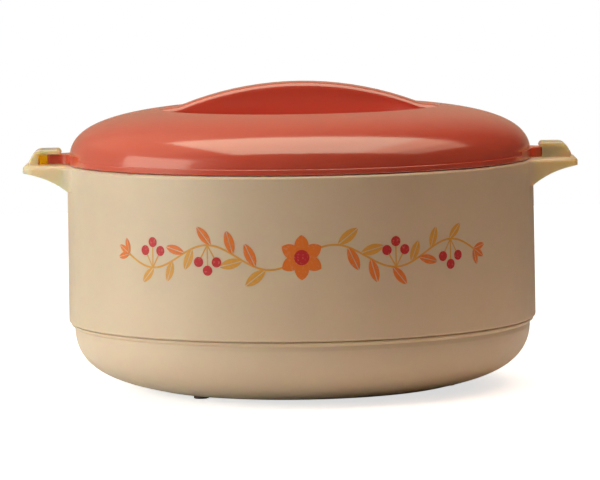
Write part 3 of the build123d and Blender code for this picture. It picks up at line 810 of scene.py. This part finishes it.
class CASSEROLE_OT_rubber(CasseroleOperator, bpy.types.Operator):
    """Finish the seals and the feet"""

    bl_idname = "casserole.rubber"
    bl_label = "Seals and feet"

    def execute(self, context):
        colours, finish = looks(context)
        finish_nodes(moulded_rubber("moulded_silicone", colours.seal, finish), "bowl_seal", "lid_seal")
        brown = moulded_rubber("moulded_rubber_brown", colours.foot, finish)
        finish_nodes(brown, "foot_1", "foot_2", "foot_3")
        return {"FINISHED"}


class CASSEROLE_OT_foam(CasseroleOperator, bpy.types.Operator):
    """Finish the foam in the walls"""

    bl_idname = "casserole.foam"
    bl_label = "Foam"

    def execute(self, context):
        finish_nodes(rigid_foam(*looks(context)), "body_foam", "lid_foam")
        return {"FINISHED"}


class CASSEROLE_OT_sprig(CasseroleOperator, bpy.types.Operator):
    """Print the leafy sprig round the front of the body"""

    bl_idname = "casserole.sprig"
    bl_label = "Printed sprig"

    def execute(self, context):
        sizes = context.scene.casserole_sprig
        colours = context.scene.casserole_colours
        bpy.ops.object.select_all(action="DESELECT")

        stem_line = []
        for knot in range(STEM_KNOTS):
            across = sizes.reach * (2 * knot / (STEM_KNOTS - 1) - 1)
            stem_line.append((across, stem_height(sizes, across)))
        amber = [ribbon(stem_line, sizes.stem_width)]

        upper = leaf_places(sizes, UPPER_LEAVES, LEAF_LEAN)
        lower = leaf_places(sizes, LOWER_LEAVES, -LEAF_LEAN)
        lower += [leaf_place(sizes, sizes.reach, fan * LEAF_LEAN, TIP_LEAF_SHARE) for fan in TIP_FAN]
        amber += sprayed(blade(sizes.leaf_length, sizes.leaf_width, sizes.vein), upper)
        orange = sprayed(blade(sizes.leaf_length, sizes.leaf_width, sizes.vein), lower)

        petals = [
            (0, 0, FIRST_PETAL + tau * count / PETAL_COUNT, 1.0) for count in range(PETAL_COUNT // 2)
        ]
        orange += sprayed(blade(sizes.petal_length, sizes.petal_width, 0), petals)

        stalks = berry_stalks(sizes)
        red = sprayed(disc(sizes.berry), [(*end, 0.0, 1.0) for root, end in stalks])
        red.append(disc(sizes.berry * HEART_SHARE))
        for root, end in stalks:
            across, up = end[0] - root[0], end[1] - root[1]
            run = hypot(across, up)
            stalk = ribbon([(0, 0), (run / 2, 0), (run, 0)], sizes.stalk_width)
            amber += sprayed(stalk, [(*root, atan2(up, across), 1.0)])

        inks = {
            "print_amber": (amber, colours.amber_ink, AMBER_LIFT),
            "print_orange": (orange, colours.orange_ink, ORANGE_LIFT),
            "print_red": (red, colours.red_ink, RED_LIFT),
        }
        wall = wall_of_revolution()
        for name, (pieces, colour, lift) in inks.items():
            flat = joined(name, pieces)
            printed(flat, wall, sizes.height, lift, sizes.ink_thickness)
            flat.data.materials.clear()
            flat.data.materials.append(screen_print_ink(f"screen_{name}", colour, colours.cream))
        bpy.data.objects.remove(wall)
        return {"FINISHED"}


class CASSEROLE_OT_stage(CasseroleOperator, bpy.types.Operator):
    """Set the table top, the white room, the softboxes and the camera"""

    bl_idname = "casserole.stage"
    bl_label = "Stage"

    def execute(self, context):
        scene = context.scene
        studio = scene.casserole_studio
        bpy.ops.object.select_all(action="DESELECT")
        pale_floor()
        white_room(studio)
        for name, *lamp in SOFTBOXES:
            softbox(name, getattr(studio, name), *lamp)
        bpy.ops.object.camera_add()
        camera = context.object
        outward = Vector((0, -cos(studio.camera_height), sin(studio.camera_height)))
        place = Matrix.Translation(CAMERA_TARGET + outward * studio.camera_distance)
        tilt = Matrix.Rotation(pi / 2 - studio.camera_height, 4, "X")
        roll = Matrix.Rotation(studio.camera_roll, 4, "Z")
        camera.matrix_world = place @ (tilt @ roll)
        camera.data.lens = studio.camera_lens
        camera.data.sensor_width = CAMERA_SENSOR
        scene.camera = camera
        scene.view_settings.view_transform = "Standard"
        return {"FINISHED"}


class CASSEROLE_PT_tools(bpy.types.Panel):
    """The casserole's operators and settings"""

    bl_idname = "CASSEROLE_PT_tools"
    bl_label = "Casserole"
    bl_space_type = "VIEW_3D"
    bl_region_type = "UI"
    bl_category = "Casserole"

    def draw(self, context):
        for operator in OPERATORS:
            self.layout.operator(operator.bl_idname)
        for name, group in SETTINGS.items():
            box = self.layout.box()
            box.label(text=group.__doc__)
            settings = getattr(context.scene, name)
            for key in group.__annotations__:
                box.prop(settings, key)


OPERATORS = [
    CASSEROLE_OT_body,
    CASSEROLE_OT_lid,
    CASSEROLE_OT_bowl,
    CASSEROLE_OT_rubber,
    CASSEROLE_OT_foam,
    CASSEROLE_OT_sprig,
    CASSEROLE_OT_stage,
]


def register():
    """Registers the settings, the operators and the panel."""
    for name, group in SETTINGS.items():
        bpy.utils.register_class(group)
        setattr(bpy.types.Scene, name, bpy.props.PointerProperty(type=group))
    for operator in OPERATORS:
        bpy.utils.register_class(operator)
    bpy.utils.register_class(CASSEROLE_PT_tools)


def unregister():
    """Takes the panel, the operators and the settings away again."""
    bpy.utils.unregister_class(CASSEROLE_PT_tools)
    for operator in reversed(OPERATORS):
        bpy.utils.unregister_class(operator)
    for name, group in SETTINGS.items():
        delattr(bpy.types.Scene, name)
        bpy.utils.unregister_class(group)


def main():
    """Finishes, prints and stages the casserole."""
    register()
    bpy.ops.casserole.body()
    bpy.ops.casserole.lid()
    bpy.ops.casserole.bowl()
    bpy.ops.casserole.rubber()
    bpy.ops.casserole.foam()
    bpy.ops.casserole.sprig()
    bpy.ops.casserole.stage()


if __name__ == "__main__":
    main()
